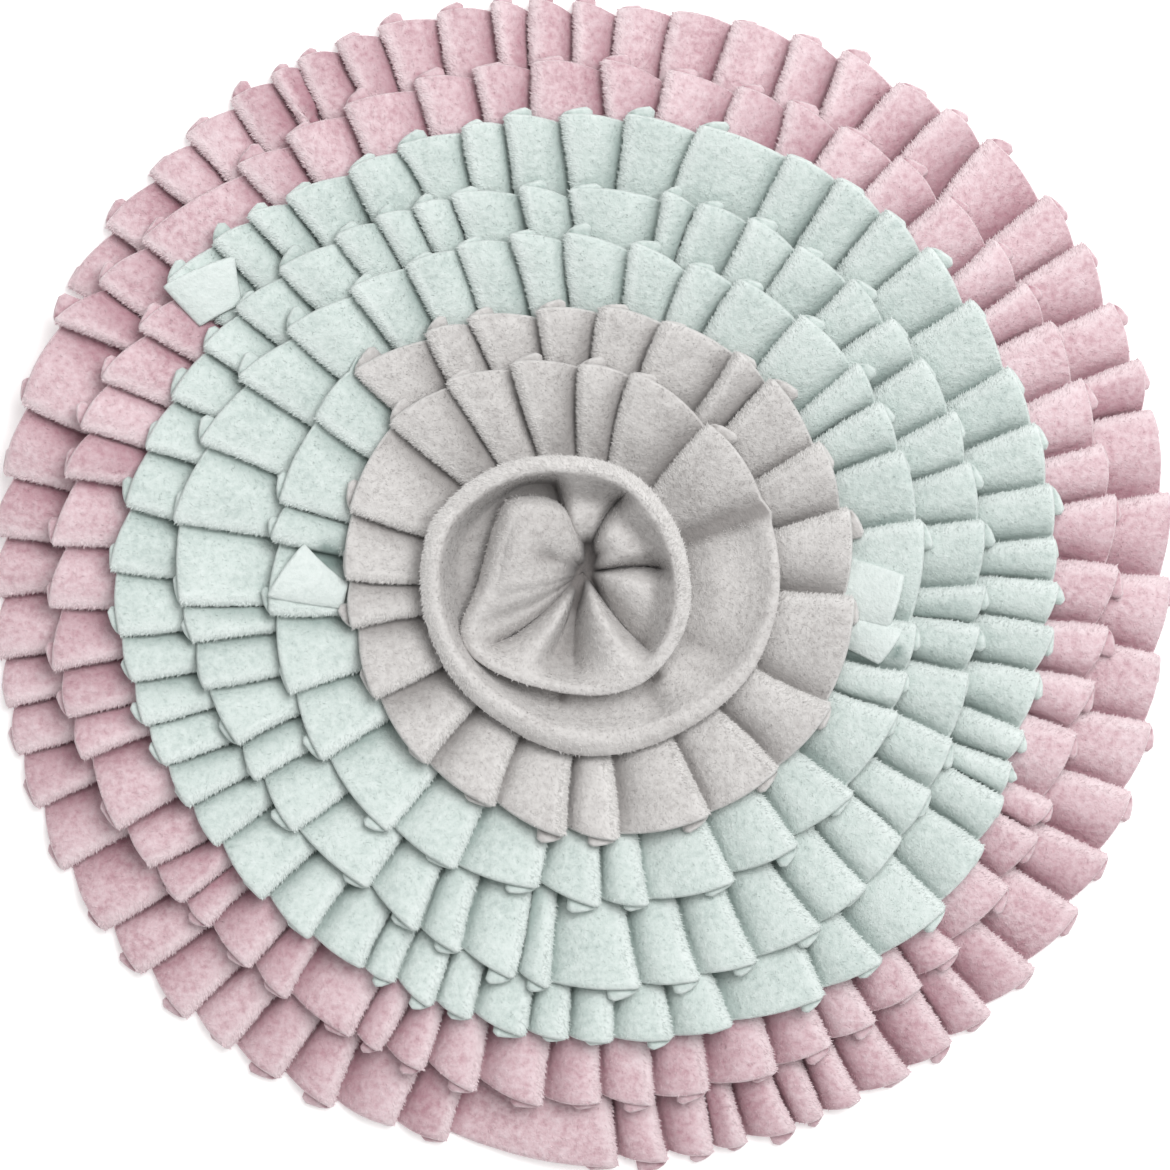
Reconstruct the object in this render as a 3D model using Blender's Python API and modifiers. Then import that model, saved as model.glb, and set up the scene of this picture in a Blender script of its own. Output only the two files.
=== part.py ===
"""Round snuffle mat: three strips of fleece in one long spiral, knife-pleated and sewn by
their inner edges to a round base cloth, so that each turn lies over the next one out like
tiles on a roof. The grey strip begins as a gathered cup in the middle."""
import math

import bmesh
import bpy
import numpy as np

MM = 0.001

# The seam spiral's middle, set so that the outline is centred on the origin
MIDDLE = (0.7, -0.74)

# Base cloth
BASE_RADIUS = 158.0
BASE_THICK = 2.0
BASE_SIDES = 96

# Fleece and how its layers lie
FLEECE = 1.7
LAYER_GAP = 0.4
SEAT_GAP = 0.3
LAYER = FLEECE + LAYER_GAP
ROOT_Z = BASE_THICK + SEAT_GAP + FLEECE / 2

# The seam spiral that every strip's inner edge follows, in degrees from the cup's right side
SEAM_START = 3.4
SEAM_PITCH = 20.5
RISE = 8.0
OUTER_END = 2677.0
SETTLE = 0.92
DROOP = 2.0

# One knife pleat
UNDERLAP = 7.5
UNDERLAP_SHARE = 0.42
LEAST_LAP = 2.6
STEP_IN = 1.9
SHOULDER = 1.6
SCALLOP = 0.7
SLIVER = 0.9

# Each row is a place along a strip: its turn angle, and how far out the cloth's edge is there
EDGE_COLUMNS = ("turn_deg", "edge_mm")
GREY_EDGE = (
    (385, 63.3), (412, 65.2), (451, 70.8), (500, 81.0), (550, 75.3), (607, 77.0), (637, 81.2),
    (694, 87.6), (717, 85.4), (751, 87.6), (777, 88.6), (820, 88.9), (857, 99.5),
)
MINT_EDGE = (
    (857, 102.7), (892, 100.5), (951, 100.5), (981, 98.4), (1001, 104.4), (1042, 107.6),
    (1073, 107.0), (1119, 112.2), (1152, 107.8), (1199, 117.7), (1229, 127.9), (1251, 132.6),
    (1284, 123.0), (1314, 120.0), (1345, 128.8), (1384, 133.4), (1427, 126.2), (1465, 130.5),
    (1518, 128.0), (1532, 126.6), (1574, 140.2), (1618, 151.3), (1655, 144.8), (1684, 142.2),
    (1721, 148.1), (1758, 154.9), (1781, 147.7), (1812, 153.0), (1858, 154.0), (1885, 150.7),
    (1920, 153.3), (1944, 165.7),
)
PINK_EDGE = (
    (1945, 161.4), (1957, 168.0), (1989, 172.2), (1999, 171.2), (2022, 164.4), (2046, 163.8),
    (2065, 167.2), (2104, 168.6), (2143, 164.7), (2170, 172.9), (2200, 171.9), (2241, 167.4),
    (2277, 172.2), (2290, 174.5), (2308, 184.0), (2314, 191.0), (2335, 191.0), (2369, 192.8),
    (2398, 188.5), (2416, 186.0), (2433, 188.0), (2458, 189.5), (2479, 191.5), (2513, 188.2),
    (2537, 192.6), (2560, 196.3), (2584, 191.8), (2607, 187.6), (2624, 192.1), (2646, 194.8),
    (2677, 193.2),
)
# Turn angle of each pleat's ridge, one for each fold, past the strip's whole turns
GREY_RIDGES = (
    412, 437, 451, 468, 484, 500, 522, 538, 550, 568, 588, 607, 625, 637, 658, 676, 693.7,
    717, 736, 751, 767.5, 776.7, 793, 806.5, 819.5, 833.3, 842, 857,
)
MINT_TURNS = 720
MINT_RIDGES = (
    148, 164.5, 171.5, 185, 200, 213.5, 231, 245, 260.7, 272.3, 281, 296.5, 309, 322, 337.5,
    344.5, 353, 370.5, 382.8, 391.5, 399, 411, 423, 431.7, 442, 453, 462, 470.5, 479, 488.3,
    499.3, 509, 519.5, 531, 542.5, 548, 555, 564.5, 570.5, 580, 594, 603.8, 610.8, 619.5,
    624.7, 637.5, 646, 654.3, 664.3, 672.7, 681, 689, 696.8, 706.8, 713.8, 719.7, 729, 737.5,
    745, 753.7, 760.7, 768.7, 777.5, 785.5, 793, 798.5, 812, 819.2, 828.8, 834.2, 839.5, 845.5,
    854, 861.5, 868, 875.5, 882.5, 890, 898, 906, 911.8, 917.5, 923, 929, 935, 944, 951.8,
    959.5, 964, 969.7, 975, 982.2, 987.5, 993.2, 1000.7, 1008.3, 1020, 1028.2, 1038, 1046.5,
    1052.8, 1057, 1061.2, 1068.7, 1074.5, 1080, 1085.5, 1092, 1099.5, 1107, 1116.2, 1124.3,
    1131, 1137.8, 1144.5, 1155.7, 1164.8, 1172.8, 1179.6, 1184.8, 1193, 1199.5, 1207.5, 1212.3,
    1217.3, 1224,
)
PINK_TURNS = 1800
PINK_RIDGES = (
    150, 156.8, 162.5, 168, 175.5, 182.2, 189, 194.2, 199, 207.5, 212.8, 218, 222, 228.5, 234,
    242.4, 246, 251.3, 257.5, 265, 271.5, 277.3, 283.5, 291.3, 298, 303.5, 309.8, 315.5, 324.3,
    330.8, 334.8, 343, 349, 355.2, 361.8, 369.5, 375, 382.3, 389.3, 394.3, 400, 407, 413.5,
    420.5, 427, 432.6, 440.7, 448, 455.5, 462, 468.5, 476.5, 483.5, 489.5, 502, 508, 513.5,
    522, 529, 535, 541, 547, 551.8, 556.5, 562, 568.5, 575.5, 581, 587.2, 592.3, 598, 604,
    610.3, 615.8, 633, 638, 642.5, 646, 651, 654, 658, 663.5, 668.5, 673.3, 679.3, 686.5,
    692.5, 699, 706, 712.8, 720.5, 728.8, 737, 742, 748, 754.3, 760, 767.7, 772.6, 777.8, 784,
    789, 795, 801, 806.5, 811, 815.2, 819, 824.3, 830.2, 834.5, 838.5, 841.5, 846, 851.5,
    856.5, 863, 869.8,
)
# Where each strip's first pleat begins
GREY_BEGIN = 385.0
MINT_BEGIN = 857.0
PINK_BEGIN = 1944.0
# Each strip has its own unevenness
GREY_SALT = 3
MINT_SALT = 5
PINK_SALT = 7
UNEVEN_LAP = 0.12
UNEVEN_JUT = 0.5
UNEVEN_SLIVER = 0.6
PUFF = 0.35

# The gathered cup: the same strip's first turn and a half. Each row is the crest of a soft
# fold, the crease beside it, or a stretch of plain wall, with the places of rim and belly.
CUP = {
    "columns": ("turn_deg", "edge_mm", "edge_z", "belly_mm", "belly_z"),
    "rows": (
        (-262, 25.0, 20.0, 14.0, 15.0), (-240, 31.5, 25.0, 19.0, 22.0),
        (-213, 37.0, 27.0, 20.0, 24.5), (-186, 35.5, 26.0, 19.5, 23.0),
        (-172, 41.5, 24.5, 22.0, 19.5), (-153, 42.5, 23.0, 21.0, 13.0),
        (-132, 39.5, 24.0, 21.0, 16.0), (-104, 37.0, 22.5, 18.0, 8.5),
        (-84, 36.3, 23.5, 18.0, 13.5), (-65, 36.0, 26.0, 18.0, 18.5),
        (-45, 35.5, 26.0, 19.0, 12.0), (-18, 34.5, 29.0, 22.0, 18.0),
        (10, 34.8, 31.0, 24.0, 10.5), (36, 36.0, 32.0, 22.0, 19.5),
        (64, 39.5, 33.0, 27.0, 11.0), (84, 41.5, 33.0, 28.0, 17.0),
        (101, 43.5, 33.0, 30.5, 11.5), (130, 49.0, 32.5, 37.5, 14.8),
        (158, 53.8, 31.0, 39.0, 15.2), (200, 52.2, 28.0, 37.0, 12.5),
        (240, 51.5, 24.5, 36.0, 11.5), (270, 54.8, 23.5, 37.0, 13.0),
        (292, 55.6, 21.5, 38.0, 9.5), (306, 56.5, 22.5, 39.0, 13.0),
        (332, 60.5, 20.0, 42.0, 9.5), (356, 62.4, 20.5, 43.0, 12.5),
        (376, 63.0, 18.6, 43.0, 9.8),
    ),
}
CUP_STEPS = 2

COLOURS = {
    "base_felt": (0.50, 0.48, 0.47),
    "fleece_grey": (0.52, 0.50, 0.49),
    "fleece_mint": (0.56, 0.67, 0.63),
    "fleece_pink": (0.68, 0.44, 0.49),
}


def wobble(index, salt):
    """An even spread of values between -1 and 1, the same on every run."""
    value = np.sin(np.asarray(index) * 12.9898 + salt * 78.233) * 43758.5453
    return 2.0 * (value - np.floor(value)) - 1.0


def seam_radius(turn):
    """Radius of the sewn inner edge at a turn angle: an even spiral."""
    return SEAM_START + SEAM_PITCH * np.maximum(turn, 0.0) / 360.0


def turns_beneath(turn):
    """How many turns lie under this one. It falls by one over the last part of each turn."""
    left = np.maximum((OUTER_END - turn) / 360.0, 0.0)
    part = np.clip((left - np.floor(left) - SETTLE) / (1.0 - SETTLE), 0.0, 1.0)
    return np.floor(left) + part * part * (3.0 - 2.0 * part)


def column(table, name):
    """One named column of a table."""
    place = table["columns"].index(name)
    return np.array([row[place] for row in table["rows"]], dtype=float)


def knife_stations(begin, edges, ridges, salt):
    """Six stations for each pleat, in the order the cloth runs: the hidden start, the step out
    from under the last ridge, the shoulder, the ridge's top and underside, and the hidden
    fold. Each has an anchor angle, how far it laps back and steps on from there, a level and
    how far it stands out past the edge."""
    starts = np.concatenate([[begin], ridges[:-1]])
    place, reach = np.array(edges, dtype=float).T
    edge, last_edge = (np.interp(at, place, reach) for at in (ridges, starts))
    width = np.radians(ridges - starts) * edge
    lap = np.minimum(UNDERLAP, UNDERLAP_SHARE * width) * (1.0 + UNEVEN_LAP * wobble(ridges, salt + 1))
    last_lap = np.concatenate([[0.55 * lap[0]], lap[:-1]])
    flat = np.zeros_like(lap)
    puff = PUFF * (1.0 + wobble(ridges, salt + 2))
    jut = SCALLOP * (1.0 + UNEVEN_JUT * wobble(ridges, salt + 3))
    sliver = SLIVER * (1.0 + UNEVEN_SLIVER * wobble(ridges, salt + 4))
    return {
        "anchor": np.stack([starts, starts, ridges, ridges, ridges, ridges], 1).ravel(),
        "lap": np.stack([last_lap, flat, lap, flat, flat, lap], 1).ravel(),
        "step": np.stack([flat, flat + STEP_IN, flat - SHOULDER, flat, flat, flat], 1).ravel(),
        "level": np.stack([
            flat, flat, 2 * LAYER + puff, flat + 2 * LAYER, flat + LAYER, flat + LAYER], 1).ravel(),
        "out": np.stack([sliver, -jut, 0.4 * jut, jut, jut + sliver, jut + sliver], 1).ravel(),
        "edge": np.stack([last_edge, last_edge, edge, edge, edge, edge], 1).ravel(),
    }


def cup_rows():
    """The gathered cup as (turn, radius, height) at the sewn edge, the belly and the rim, eased
    from each fold of the table to the next."""
    place = np.arange((len(CUP["rows"]) - 1) * CUP_STEPS + 1) / CUP_STEPS
    eased = np.floor(place) + 0.5 - 0.5 * np.cos(math.pi * (place - np.floor(place)))
    turn, edge, edge_z, belly, belly_z = (
        np.interp(at, np.arange(len(CUP["rows"])), column(CUP, name))
        for at, name in zip((place, eased, eased, eased, eased), CUP["columns"]))
    seam = seam_radius(turn)
    return [(turn, seam, np.full_like(turn, ROOT_Z)), (turn, belly, belly_z),
            (turn, edge, edge_z)]


def knife_rows(stations, shares):
    """The pleated cloth as (turn, radius, height) on rows from the sewn edge to the free one.
    It rises over the turns beneath it, and its layers stand out past the edge on that slope."""
    anchor = stations["anchor"]
    seam = seam_radius(anchor)
    reach = stations["edge"] - seam
    beneath = turns_beneath(anchor)
    radii = []
    lifts = []
    for share in shares:
        if share == "next seam":
            along = np.full_like(reach, SEAM_PITCH)
            lift = RISE * np.minimum(1.0, beneath)
        else:
            along = share * reach
            lift = RISE * along / SEAM_PITCH * np.minimum(1.0, beneath / 2)
            lift = lift - DROOP * share * np.clip(1.0 - beneath, 0.0, 1.0)
        radii.append(seam + along)
        lifts.append(lift)
    slope = (lifts[-1] - lifts[-2]) / (radii[-1] - radii[-2])
    radii[-1] = radii[-1] + stations["out"]
    lifts[-1] = lifts[-1] + slope * stations["out"]
    rows = []
    for radius, lift in zip(radii, lifts):
        back = np.maximum(stations["lap"] * radius / (seam + reach), LEAST_LAP)
        back = np.minimum(stations["lap"], back)
        turn = anchor + np.degrees((stations["step"] - back) / radius)
        rows.append((turn, radius, ROOT_Z + lift + stations["level"]))
    return rows


def strip_mesh(name, rows, slot, collection):
    """A strip of cloth: an open surface lofted through rows of stations, thickened evenly."""
    turn, radius, height = np.moveaxis(np.array(rows), 1, 0)
    steps, count = turn.shape
    angle = np.radians(turn)
    points = np.stack([radius * np.cos(angle), radius * np.sin(angle), height], 2) * MM
    corner = np.arange((steps - 1) * count).reshape(steps - 1, count)[:, :-1].ravel()
    faces = np.stack([corner, corner + count, corner + count + 1, corner + 1], 1)
    mesh = bpy.data.meshes.new(name)
    mesh.from_pydata(points.reshape(-1, 3).tolist(), [], faces.tolist())
    mesh.update()
    piece = add_object(name, mesh, slot, collection)
    cloth = piece.modifiers.new("cloth", "SOLIDIFY")
    cloth.thickness = FLEECE * MM
    cloth.offset = 0.0
    cloth.use_even_offset = True
    cloth.use_quality_normals = True
    return piece


def material(slot):
    """A plain matt cloth in the slot's colour."""
    made = bpy.data.materials.get(slot)
    if made is None:
        made = bpy.data.materials.new(slot)
        made.use_nodes = True
        shader = made.node_tree.nodes["Principled BSDF"]
        shader.inputs["Base Color"].default_value = (*COLOURS[slot], 1.0)
        shader.inputs["Roughness"].default_value = 0.95
        shader.inputs["Metallic"].default_value = 0.0
    return made


def add_object(name, mesh, slot, collection):
    """Links a mesh as one named piece with its material."""
    mesh.materials.append(material(slot))
    piece = bpy.data.objects.new(name, mesh)
    piece.location = (MIDDLE[0] * MM, MIDDLE[1] * MM, 0.0)
    collection.objects.link(piece)
    return piece


def base_mesh(name, slot, collection):
    """The round base cloth: a flat disc resting on the floor."""
    mesh = bpy.data.meshes.new(name)
    disc = bmesh.new()
    bmesh.ops.create_cone(disc, cap_ends=True, segments=BASE_SIDES, radius1=BASE_RADIUS * MM,
                          radius2=BASE_RADIUS * MM, depth=BASE_THICK * MM)
    disc.to_mesh(mesh)
    disc.free()
    base = add_object(name, mesh, slot, collection)
    base.location.z = BASE_THICK * MM / 2
    return base


def join_rows(first, second):
    """One run of cloth from two, row by row."""
    return [tuple(np.concatenate(pair) for pair in zip(a, b)) for a, b in zip(first, second)]


def build():
    for old in list(bpy.data.objects):
        bpy.data.objects.remove(old, do_unlink=True)
    mat = bpy.data.collections.new("snuffle_mat")
    bpy.context.scene.collection.children.link(mat)
    base_mesh("base_cloth", "base_felt", mat)
    ridges = np.array(GREY_RIDGES, dtype=float)
    stations = knife_stations(GREY_BEGIN, GREY_EDGE, ridges, GREY_SALT)
    grey = join_rows(cup_rows(), knife_rows(stations, (0.0, 0.5, 1.0)))
    strip_mesh("grey_strip", grey, "fleece_grey", mat)
    ridges = np.array(MINT_RIDGES) + MINT_TURNS
    stations = knife_stations(MINT_BEGIN, MINT_EDGE, ridges, MINT_SALT)
    strip_mesh("mint_strip", knife_rows(stations, (0.0, 1.0)), "fleece_mint", mat)
    ridges = np.array(PINK_RIDGES) + PINK_TURNS
    stations = knife_stations(PINK_BEGIN, PINK_EDGE, ridges, PINK_SALT)
    pink = knife_rows(stations, (0.0, "next seam", 1.0))
    strip_mesh("pink_strip", pink, "fleece_pink", mat)


build()
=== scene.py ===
"""Looks of the round snuffle mat: three knife-pleated strips of brushed fleece on one seam
spiral, the grey one gathered into a cup in the middle, all on a round felt base."""
import math

import bpy
import numpy as np
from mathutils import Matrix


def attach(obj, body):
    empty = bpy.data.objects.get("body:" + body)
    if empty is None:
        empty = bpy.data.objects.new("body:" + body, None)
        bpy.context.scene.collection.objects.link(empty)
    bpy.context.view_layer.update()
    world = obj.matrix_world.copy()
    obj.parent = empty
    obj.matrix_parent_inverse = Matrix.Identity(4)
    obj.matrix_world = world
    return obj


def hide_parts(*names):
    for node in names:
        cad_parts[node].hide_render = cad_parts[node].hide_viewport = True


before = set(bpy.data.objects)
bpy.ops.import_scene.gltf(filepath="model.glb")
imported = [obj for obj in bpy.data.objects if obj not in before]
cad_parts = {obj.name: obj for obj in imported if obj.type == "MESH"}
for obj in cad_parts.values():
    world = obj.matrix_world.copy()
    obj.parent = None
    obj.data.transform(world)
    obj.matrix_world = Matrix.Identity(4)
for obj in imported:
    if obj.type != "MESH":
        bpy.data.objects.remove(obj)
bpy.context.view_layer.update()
MM = 0.001

# The seam spiral's middle in the frame, and the thickness of the felt under the strips
MIDDLE = (0.7, -0.74)
BASE_THICK = 2.0

# Fleece: its thickness, the step from one layer to the next, and the gap over the felt
FLEECE = 1.7
LAYER = 2.1
SEAT_GAP = 0.3
ROOT_Z = BASE_THICK + SEAT_GAP + FLEECE / 2

# The seam spiral: its radius at the middle, and how much further out each turn lies
SEAM_START = 3.4
SEAM_PITCH = 20.5

# The slope of a ruffle: its rise from one seam to the next, the turn angle at which the last
# turn ends, the share of a turn that keeps one count of turns beneath before it eases to the
# next, and how far the outermost edge droops
RISE = 8.0
OUTER_END = 2677.0
SETTLE = 0.92
DROOP = 2.0

# A pleat: the most it laps under the last one, also as a share of its width, the least lap near
# the seam, how far its panel begins past the last ridge, and how far its shoulder is from the lap
UNDERLAP = 8.0
UNDERLAP_SHARE = 0.45
LEAST_LAP = 3.0
STEP_IN = 1.5
SHOULDER = 1.5
# How far a ridge bows sideways, and the most it slants, in degrees and as a share of the space
BOW = 1.3
MOST_SLANT = 1.9
SLANT_SHARE = 0.28
# How pleats differ: the number that picks each kind's own spread, its middle value, and how far
# single pleats stray from it. Jut and sliver are millimetres, the others shares. Dark scales how
# far the painted shade of a crevice reaches
UNEVEN = {
    "lap": (1, 1.0, 0.15),
    "puff": (2, 0.7, 0.4),
    "jut": (3, 0.3, 0.8),
    "sliver": (4, 1.7, 1.5),
    "bulge": (6, 1.1, 0.7),
    "wave": (9, 1.0, 0.5),
    "dark": (10, 1.0, 0.6),
}
# How a pleat changes from seam to free edge: the share of the way at which each change begins,
# and how much of the way it takes. Painted shade lifts past the seam at the first, fades in the
# crevice at crevice_fades, and lifts on the lower layer at lower_layer_shows
PLEAT_CHANGES = {
    "seam_shade_lifts": (0.08, 0.15),
    "swells": (0.25, 0.35),
    "swings_out": (0.55, 0.45),
    "crevice_fades": (0.7, 0.3),
    "lower_layer_shows": (0.8, 0.2),
    "turns_down": (0.86, 0.14),
}

# Each row is a place along a strip: its turn angle in degrees, and how far out in millimetres
# the cloth's edge is there
GREY_EDGE = (
    (385, 63.3), (412, 65.2), (451, 70.8), (500, 81.0), (550, 75.3), (607, 77.0), (637, 81.2),
    (694, 87.6), (717, 85.4), (751, 87.6), (777, 88.6), (820, 88.9), (857, 99.5),
)
MINT_EDGE = (
    (857, 102.7), (892, 100.5), (951, 100.5), (981, 98.4), (1001, 104.4), (1042, 107.6),
    (1073, 107.0), (1119, 112.2), (1152, 107.8), (1199, 117.7), (1229, 127.9), (1251, 132.6),
    (1284, 123.0), (1314, 120.0), (1345, 128.8), (1384, 133.4), (1427, 126.2), (1465, 130.5),
    (1518, 128.0), (1532, 126.6), (1574, 140.2), (1618, 151.3), (1655, 144.8), (1684, 142.2),
    (1721, 148.1), (1758, 154.9), (1781, 147.7), (1812, 153.0), (1858, 154.0), (1885, 150.7),
    (1920, 153.3), (1944, 165.7),
)
PINK_EDGE = (
    (1945, 161.4), (1957, 168.0), (1989, 172.2), (1999, 171.2), (2022, 164.4), (2046, 163.8),
    (2065, 167.2), (2104, 168.6), (2143, 164.7), (2170, 172.9), (2200, 171.9), (2241, 167.4),
    (2277, 172.2), (2290, 174.5), (2308, 184.0), (2314, 191.0), (2335, 191.0), (2369, 192.8),
    (2398, 188.5), (2416, 186.0), (2433, 188.0), (2458, 189.5), (2479, 191.5), (2513, 188.2),
    (2537, 192.6), (2560, 196.3), (2584, 191.8), (2607, 187.6), (2624, 192.1), (2646, 194.8),
    (2677, 193.2),
)
# Turn angle of each pleat's ridge, one for each fold, past the strip's whole turns
GREY_RIDGES = (
    412, 437, 451, 468, 484, 500, 522, 538, 550, 568, 588, 607, 625, 637, 658, 676, 693.7,
    717, 736, 751, 767.5, 776.7, 793, 806.5, 819.5, 833.3, 842, 857,
)
MINT_TURNS = 720
MINT_RIDGES = (
    148, 164.5, 171.5, 185, 200, 213.5, 231, 245, 260.7, 272.3, 281, 296.5, 309, 322, 337.5,
    344.5, 353, 370.5, 382.8, 391.5, 399, 411, 423, 431.7, 442, 453, 462, 470.5, 479, 488.3,
    499.3, 509, 519.5, 531, 542.5, 548, 555, 564.5, 570.5, 580, 594, 603.8, 610.8, 619.5,
    624.7, 637.5, 646, 654.3, 664.3, 672.7, 681, 689, 696.8, 706.8, 713.8, 719.7, 729, 737.5,
    745, 753.7, 760.7, 768.7, 777.5, 785.5, 793, 798.5, 812, 819.2, 828.8, 834.2, 839.5, 845.5,
    854, 861.5, 868, 875.5, 882.5, 890, 898, 906, 911.8, 917.5, 923, 929, 935, 944, 951.8,
    959.5, 964, 969.7, 975, 982.2, 987.5, 993.2, 1000.7, 1008.3, 1020, 1028.2, 1038, 1046.5,
    1052.8, 1057, 1061.2, 1068.7, 1074.5, 1080, 1085.5, 1092, 1099.5, 1107, 1116.2, 1124.3,
    1131, 1137.8, 1144.5, 1155.7, 1164.8, 1172.8, 1179.6, 1184.8, 1193, 1199.5, 1207.5, 1212.3,
    1217.3, 1224,
)
PINK_TURNS = 1800
PINK_RIDGES = (
    150, 156.8, 162.5, 168, 175.5, 182.2, 189, 194.2, 199, 207.5, 212.8, 218, 222, 228.5, 234,
    242.4, 246, 251.3, 257.5, 265, 271.5, 277.3, 283.5, 291.3, 298, 303.5, 309.8, 315.5, 324.3,
    330.8, 334.8, 343, 349, 355.2, 361.8, 369.5, 375, 382.3, 389.3, 394.3, 400, 407, 413.5,
    420.5, 427, 432.6, 440.7, 448, 455.5, 462, 468.5, 476.5, 483.5, 489.5, 502, 508, 513.5,
    522, 529, 535, 541, 547, 551.8, 556.5, 562, 568.5, 575.5, 581, 587.2, 592.3, 598, 604,
    610.3, 615.8, 633, 638, 642.5, 646, 651, 654, 658, 663.5, 668.5, 673.3, 679.3, 686.5,
    692.5, 699, 706, 712.8, 720.5, 728.8, 737, 742, 748, 754.3, 760, 767.7, 772.6, 777.8, 784,
    789, 795, 801, 806.5, 811, 815.2, 819, 824.3, 830.2, 834.5, 838.5, 841.5, 846, 851.5,
    856.5, 863, 869.8,
)
# Where each strip's first pleat begins
GREY_BEGIN = 385.0
MINT_BEGIN = 857.0
PINK_BEGIN = 1944.0

# The gathered cup, a row for each crest and crease of its soft folds. Columns: turn angle; radius
# and height of the rim; radius and height of the belly; radius of the foot; width of the lip and
# how far it curls down; how much it is a brim, 0 to 1, which sets how far the wall dips under it,
# the painted shade under it and the painted highlight on its lip; and the degrees that the fold
# bends sideways between the middle and the rim
CUP = (
    (-268, 15.0, 9.5, 9.0, 6.5, 4, 2, 2, 0, 0),
    (-257, 21.0, 19.0, 14.0, 18.5, 4.5, 4, 5, 0, 0),
    (-249, 28.0, 23.5, 18.0, 23.5, 4, 5, 7, 0, 0),
    (-238, 33.0, 25.5, 22.0, 26.5, 4, 6, 8, 0, 0),
    (-227, 37.8, 26.0, 25.0, 28.0, 3.5, 6, 8, 0, 0),
    (-216, 34.8, 26.0, 25.0, 28.0, 3.5, 6, 8, 0, 0),
    (-197, 32.6, 25.5, 24.0, 27.5, 3.5, 6, 8, 0, 0),
    (-181, 33.6, 25.0, 24.0, 26.5, 3.5, 6, 8, 0, 2),
    (-170, 37.0, 24.0, 26.0, 23.5, 4, 5, 5, 0, 5),
    (-161, 42.5, 22.5, 30.0, 17.0, 5, 4, 2.5, 0, 9),
    (-151, 43.5, 21.5, 33.0, 10.0, 6, 3, 1.5, 0, 12),
    (-128, 38.0, 23.5, 22.0, 20.5, 6, 2, 0.6, 0, 5),
    (-113, 35.5, 22.5, 22.0, 5.0, 10, 2, 0.5, 0, 0),
    (-95, 35.0, 22.5, 23.0, 4.8, 11, 2, 0.5, 0, -3),
    (-60, 36.2, 26.0, 17.0, 23.5, 3.5, 2, 0.5, 0, -7),
    (-45, 35.5, 27.0, 28.0, 8.0, 9, 3, 0.5, 0.2, -8),
    (-8, 34.0, 29.5, 18.0, 20.5, 4, 4.3, 0.8, 1, 2),
    (7, 33.2, 31.0, 23.5, 7.0, 9, 4.3, 1.2, 1, 8),
    (22, 33.6, 31.5, 17.0, 22.5, 5, 4.3, 1.2, 1, 9),
    (46, 35.2, 32.5, 17.0, 23.0, 9, 4.3, 1.2, 1, 12),
    (62, 37.7, 33.0, 29.0, 7.0, 13, 4.3, 1.2, 1, 13),
    (76, 39.2, 33.0, 22.0, 19.0, 12, 4.3, 1.2, 1, 7),
    (93, 40.7, 33.0, 21.0, 21.0, 11, 4.3, 1.2, 1, 5),
    (103, 42.0, 33.0, 33.0, 8.0, 13, 4.3, 1.2, 1, 4),
    (130, 47.6, 32.5, 38.5, 12.8, 12, 5, 1.5, 1, 0),
    (158, 53.0, 31.0, 40.5, 13.2, 12, 5, 2, 1, 0),
    (200, 51.8, 28.0, 38.5, 11.5, 12, 5, 3, 0.7, 0),
    (240, 51.5, 24.5, 36.0, 11.5, 12, 6, 4, 0.2, 0),
    (270, 54.8, 23.5, 37.0, 12.6, 12, 7, 4, 0, 0),
    (287, 55.4, 22.0, 38.0, 13.2, 12, 6, 3, 0, 0),
    (301, 56.0, 21.5, 39.5, 8.0, 12, 5, 3, 0, 0),
    (313, 57.4, 22.0, 40.0, 13.6, 12, 5, 2, 0, 0),
    (332, 60.5, 20.0, 42.0, 9.5, 12, 3, 1, 0, 0),
    (356, 62.4, 20.5, 43.0, 12.5, 12, 2, 0.5, 0, 0),
    (378, 63.1, 18.5, 43.0, 10.6, 12, 2, 0, 0, 0),
)
# A dimple in the big fold: its turn angle, radius, depth, and how far it reaches both ways
DIMPLE = {"turn": -209.0, "radius": 13.0, "deep": 4.5, "degrees": 12.0, "mm": 3.0}
# The gathers meet a little above the seam's middle, and everything within this radius leans there
GATHER_SHIFT = (-0.8, 4.1)
GATHER_REACH = 36.0
# Radius to which the cloth is drawn in at the gathers
GATHER_CORE = 0.4
# A belly lower than this counts as a crease, and the wall dips this far under a brim
PIT = 6.0
DIP = 2.0
# Degrees between two lines of the cup's surface
CUP_STEP = 2.0
# Where each stretch of the cup begins and how long it is, as shares of the way from seam to rim
CUP_RUN = {
    "floor": (0.0, 0.1),
    "rise": (0.1, 0.38),
    "wall": (0.48, 0.3),
    "brim": (0.78, 0.22),
}
# Turn angle at which the cup's cloth changes, and the degrees that the change takes. Past
# shade_begins painted shade covers the cup's cloth below the brim, and before cloth_begins the
# cloth is painted dark as shade
CUP_CHANGES = {
    "gathers_end": (150.0, 50.0),
    "skirt_begins": (100.0, 60.0),
    "shade_begins": (95.0, 12.0),
    "cloth_begins": (-266.0, 14.0),
}

# Ends and corners of the mint strip's own cloth that are folded over. Columns: name; four
# (radius, turn) corners, inner two and then outer two; how far it lies above the plain slope; and
# its flat size in metres, which for mint_pleat_end is a little more than its corners span
TUCKS = (
    ("mint_tuck", ((83.5, 1073.0), (85.0, 1085.8), (98.8, 1072.4), (102.6, 1081.6)), 7.4,
     (0.0150, 0.0190)),
    ("mint_pleat_end", ((86.0, 1066.9), (85.0, 1073.5), (98.1, 1065.2), (103.3, 1071.8)), 6.6,
     (0.0110, 0.0165)),
    ("mint_end", ((150.1, 1945.9), (144.1, 1940.7), (165.6, 1944.6), (154.9, 1937.1)), 7.4,
     (0.0160, 0.0180)),
    ("mint_corner", ((79.0, 905.2), (77.1, 900.0), (101.8, 901.9), (91.5, 892.1)), 7.4,
     (0.0150, 0.0170)),
)
TUCK_STEPS = 24
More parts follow.
